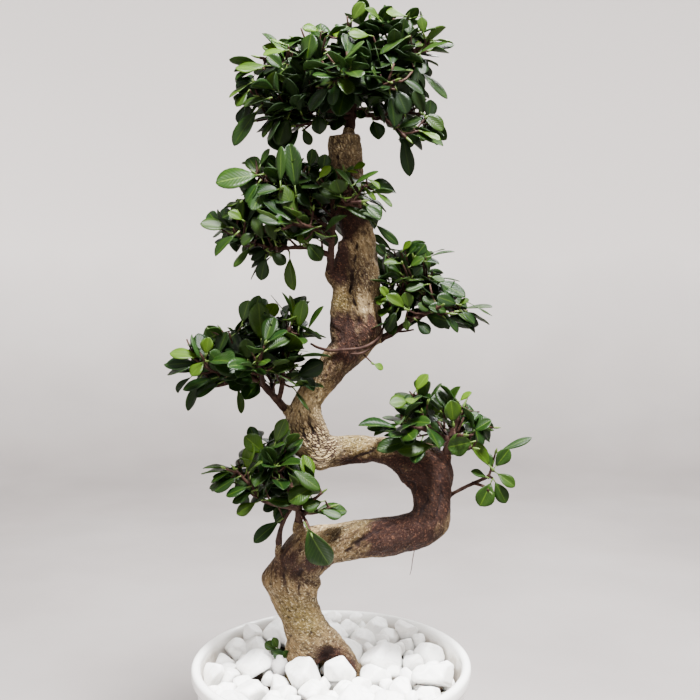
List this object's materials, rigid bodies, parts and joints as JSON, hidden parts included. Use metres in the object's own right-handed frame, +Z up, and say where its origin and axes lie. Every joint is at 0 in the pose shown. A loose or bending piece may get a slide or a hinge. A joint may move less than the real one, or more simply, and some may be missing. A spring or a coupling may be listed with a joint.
{
  "type": "ginseng ficus in a round pot",
  "caption": "Ginseng ficus with a thick S-shaped trunk and clipped leaf pads, standing in a round white pot filled with soil under white pebbles.",
  "frame": {"origin": "centre of the pot's flat underside, on the ground under the pot's axis", "axes": "+Z up along the pot's axis, +X to the right of the pictured view, -Y towards the viewer"},
  "size_m": [0.4029, 0.32, 0.9965],
  "materials": {
    "bark": "rough bark",
    "leaf": "waxy leaf",
    "pot": "glazed",
    "soil": "crumbly",
    "pebble": "tumbled stone"
  },
  "bodies": {
    "root": {"leaves_crown": "leaf", "leaves_left": "leaf", "leaves_lower_left": "leaf", "leaves_right": "leaf", "leaves_right_sprig": "leaf", "leaves_second": "leaf", "leaves_upper_right": "leaf", "pebble_01": "pebble", "pebble_02": "pebble", "pebble_03": "pebble", "pebble_04": "pebble", "pebble_05": "pebble", "pebble_06": "pebble", "pebble_07": "pebble", "pebble_08": "pebble", "pebble_09": "pebble", "pebble_10": "pebble", "pebble_11": "pebble", "pebble_12": "pebble", "pebble_13": "pebble", "pebble_14": "pebble", "pebble_15": "pebble", "pebble_16": "pebble", "pebble_17": "pebble", "pebble_18": "pebble", "pebble_19": "pebble", "pebble_20": "pebble", "pebble_21": "pebble", "pebble_22": "pebble", "pebble_23": "pebble", "pebble_24": "pebble", "pebble_25": "pebble", "pebble_26": "pebble", "pebble_27": "pebble", "pebble_28": "pebble", "pebble_29": "pebble", "pebble_30": "pebble", "pebble_31": "pebble", "pebble_32": "pebble", "pebble_33": "pebble", "pebble_34": "pebble", "pebble_35": "pebble", "pebble_36": "pebble", "pebble_37": "pebble", "pebble_38": "pebble", "pebble_39": "pebble", "pebble_40": "pebble", "pebble_41": "pebble", "pebble_42": "pebble", "pebble_43": "pebble", "pebble_44": "pebble", "pot": "pot", "soil": "soil", "trunk": "bark"}
  },
  "joints": []
}
